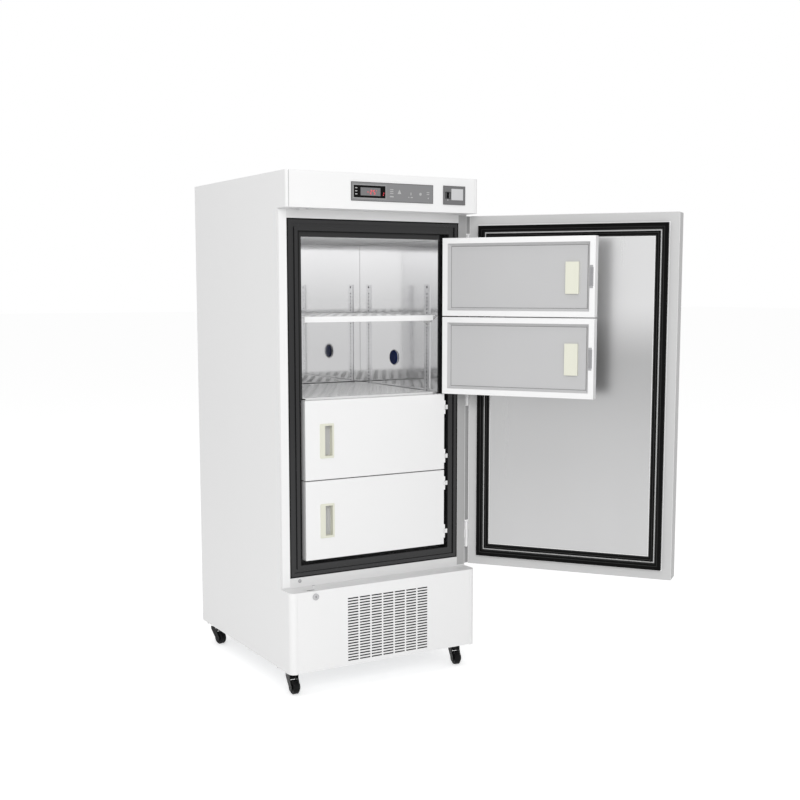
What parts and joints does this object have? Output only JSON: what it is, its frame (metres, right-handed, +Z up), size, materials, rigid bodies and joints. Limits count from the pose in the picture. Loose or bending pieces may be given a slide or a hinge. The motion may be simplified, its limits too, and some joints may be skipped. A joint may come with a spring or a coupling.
{
  "type": "laboratory freezer",
  "caption": "Upright laboratory freezer on swivel casters: foamed cabinet, thick hinged main door, small inner doors, perforated shelves on wall rails and a controller header.",
  "frame": {"origin": "on the floor under the middle of the cabinet's footprint, the doors left out", "axes": "+X to the cabinet's right as seen from the front, +Y to the back, +Z up"},
  "size_m": [1.2105, 1.2603, 1.662],
  "materials": {
    "white_paint": "semi-gloss white powder coat",
    "galvanised": "zinc-coated sheet",
    "stainless": "bright polished stainless sheet",
    "foam": "rigid foam",
    "dark_plastic": "glossy dark profile",
    "gray_plastic": "satin gray",
    "black_plastic": "gloss black",
    "lock_metal": "satin chrome",
    "black_paint": "black enamel",
    "white_plastic": "natural",
    "plug": "navy blue",
    "seal_rubber": "flexible black",
    "handle_finish": "light gray",
    "cream_plastic": "cream",
    "latch_metal": "gray",
    "caster_black": "gloss black",
    "wheel_black": "dark nylon"
  },
  "bodies": {
    "cabinet": {"left_side_panel": "white_paint", "right_side_panel": "white_paint", "top_panel": "white_paint", "back_panel": "galvanised", "base_frame": "galvanised", "insulation": "foam", "cavity_liner": "stainless", "breaker_frame": "dark_plastic", "front_surround": "white_paint", "header_cover": "white_paint", "control_panel": "gray_plastic", "display_window": "black_plastic", "switch_plate": "gray_plastic", "control_box": "gray_plastic", "grille_panel": "white_paint", "lock_ring": "lock_metal", "door_sill": "white_paint", "compressor": "black_paint", "condenser": "galvanised", "fan_motor": "black_paint", "drip_tray": "gray_plastic", "power_inlet": "black_plastic", "shelves": "white_paint", "shelf_rails": "stainless", "shelf_clips": "white_paint", "port_plug": "plug", "door_switch": "gray_plastic", "cabinet_hinges": "white_paint", "inner_hinges": "stainless", "caster_plates": "galvanised"},
    "main_door": {"door_skin": "white_paint", "door_core": "foam", "door_liner": "stainless", "outer_seal": "seal_rubber", "inner_seal": "seal_rubber", "door_handle": "handle_finish", "door_hinges": "white_paint"},
    "inner_1": {"inner_door_1": "white_paint", "inner_pull_1": "cream_plastic", "inner_latch_1": "latch_metal"},
    "inner_2": {"inner_door_2": "white_paint", "inner_pull_2": "cream_plastic", "inner_latch_2": "latch_metal"},
    "inner_3": {"inner_door_3": "white_paint", "inner_pull_3": "cream_plastic", "inner_latch_3": "latch_metal"},
    "inner_4": {"inner_door_4": "white_paint", "inner_pull_4": "cream_plastic", "inner_latch_4": "latch_metal"},
    "power_rocker": {"rocker_switch": "black_plastic"},
    "lock_barrel": {"key_lock": "lock_metal"},
    "cooling_fan": {"fan_blades": "white_plastic"},
    "caster_1_swivel": {"caster_1_hood": "caster_black"},
    "caster_1_roller": {"caster_1_wheels": "wheel_black"},
    "caster_2_swivel": {"caster_2_hood": "caster_black"},
    "caster_2_roller": {"caster_2_wheels": "wheel_black"},
    "caster_3_swivel": {"caster_3_hood": "caster_black"},
    "caster_3_roller": {"caster_3_wheels": "wheel_black"},
    "caster_4_swivel": {"caster_4_hood": "caster_black"},
    "caster_4_roller": {"caster_4_wheels": "wheel_black"}
  },
  "joints": [
    {"name": "main_door_hinge", "type": "hinge", "parent": "cabinet", "child": "main_door", "pos_m": [0.3536, -0.32105, 0.94805], "axis": [0, 0, 1], "range_deg": [-128, 7]},
    {"name": "inner_1_hinge", "type": "hinge", "parent": "cabinet", "child": "inner_1", "pos_m": [0.2644, -0.317, 1.34005], "axis": [0, 0, 1], "range_deg": [-124.4, 7]},
    {"name": "inner_2_hinge", "type": "hinge", "parent": "cabinet", "child": "inner_2", "pos_m": [0.2644, -0.317, 1.07935], "axis": [0, 0, 1], "range_deg": [-124.4, 7]},
    {"name": "inner_3_hinge", "type": "hinge", "parent": "cabinet", "child": "inner_3", "pos_m": [0.2644, -0.317, 0.81865], "axis": [0, 0, 1], "range_deg": [0, 124.4]},
    {"name": "inner_4_hinge", "type": "hinge", "parent": "cabinet", "child": "inner_4", "pos_m": [0.2644, -0.317, 0.55795], "axis": [0, 0, 1], "range_deg": [0, 124.4]},
    {"name": "rocker_pivot", "type": "hinge", "parent": "cabinet", "child": "power_rocker", "pos_m": [0.2295, -0.38, 1.6052], "axis": [1, 0, 0], "range_deg": [-16, 0]},
    {"name": "key_turn", "type": "hinge", "parent": "cabinet", "child": "lock_barrel", "pos_m": [-0.2614, -0.383, 0.326], "axis": [0, 1, 0], "range_deg": [0, 90]},
    {"name": "fan_spin", "type": "hinge", "parent": "cabinet", "child": "cooling_fan", "pos_m": [0.01, -0.261, 0.19], "axis": [0, 1, 0], "continuous": true},
    {"name": "caster_1_swivel", "type": "hinge", "parent": "cabinet", "child": "caster_1_swivel", "pos_m": [-0.312, -0.307, 0.05], "axis": [0, 0, 1], "continuous": true},
    {"name": "caster_1_roll", "type": "hinge", "parent": "caster_1_swivel", "child": "caster_1_roller", "pos_m": [-0.31346, -0.32795, 0.023], "axis": [0.9976, -0.0698, 0], "continuous": true},
    {"name": "caster_2_swivel", "type": "hinge", "parent": "cabinet", "child": "caster_2_swivel", "pos_m": [0.312, -0.307, 0.05], "axis": [0, 0, 1], "continuous": true},
    {"name": "caster_2_roll", "type": "hinge", "parent": "caster_2_swivel", "child": "caster_2_roller", "pos_m": [0.30763, -0.32754, 0.023], "axis": [0.9781, -0.2079, 0], "continuous": true},
    {"name": "caster_3_swivel", "type": "hinge", "parent": "cabinet", "child": "caster_3_swivel", "pos_m": [-0.312, 0.339, 0.05], "axis": [0, 0, 1], "continuous": true},
    {"name": "caster_3_roll", "type": "hinge", "parent": "caster_3_swivel", "child": "caster_3_roller", "pos_m": [-0.30763, 0.31846, 0.023], "axis": [0.9781, 0.2079, 0], "continuous": true},
    {"name": "caster_4_swivel", "type": "hinge", "parent": "cabinet", "child": "caster_4_swivel", "pos_m": [0.312, 0.339, 0.05], "axis": [0, 0, 1], "continuous": true},
    {"name": "caster_4_roll", "type": "hinge", "parent": "caster_4_swivel", "child": "caster_4_roller", "pos_m": [0.31383, 0.31808, 0.023], "axis": [0.9962, 0.0872, 0], "continuous": true}
  ],
  "couplings": [
    {"joint": "inner_1_hinge", "follows": "main_door_hinge", "ratio": 0.97188},
    {"joint": "inner_2_hinge", "follows": "main_door_hinge", "ratio": 0.97188}
  ]
}
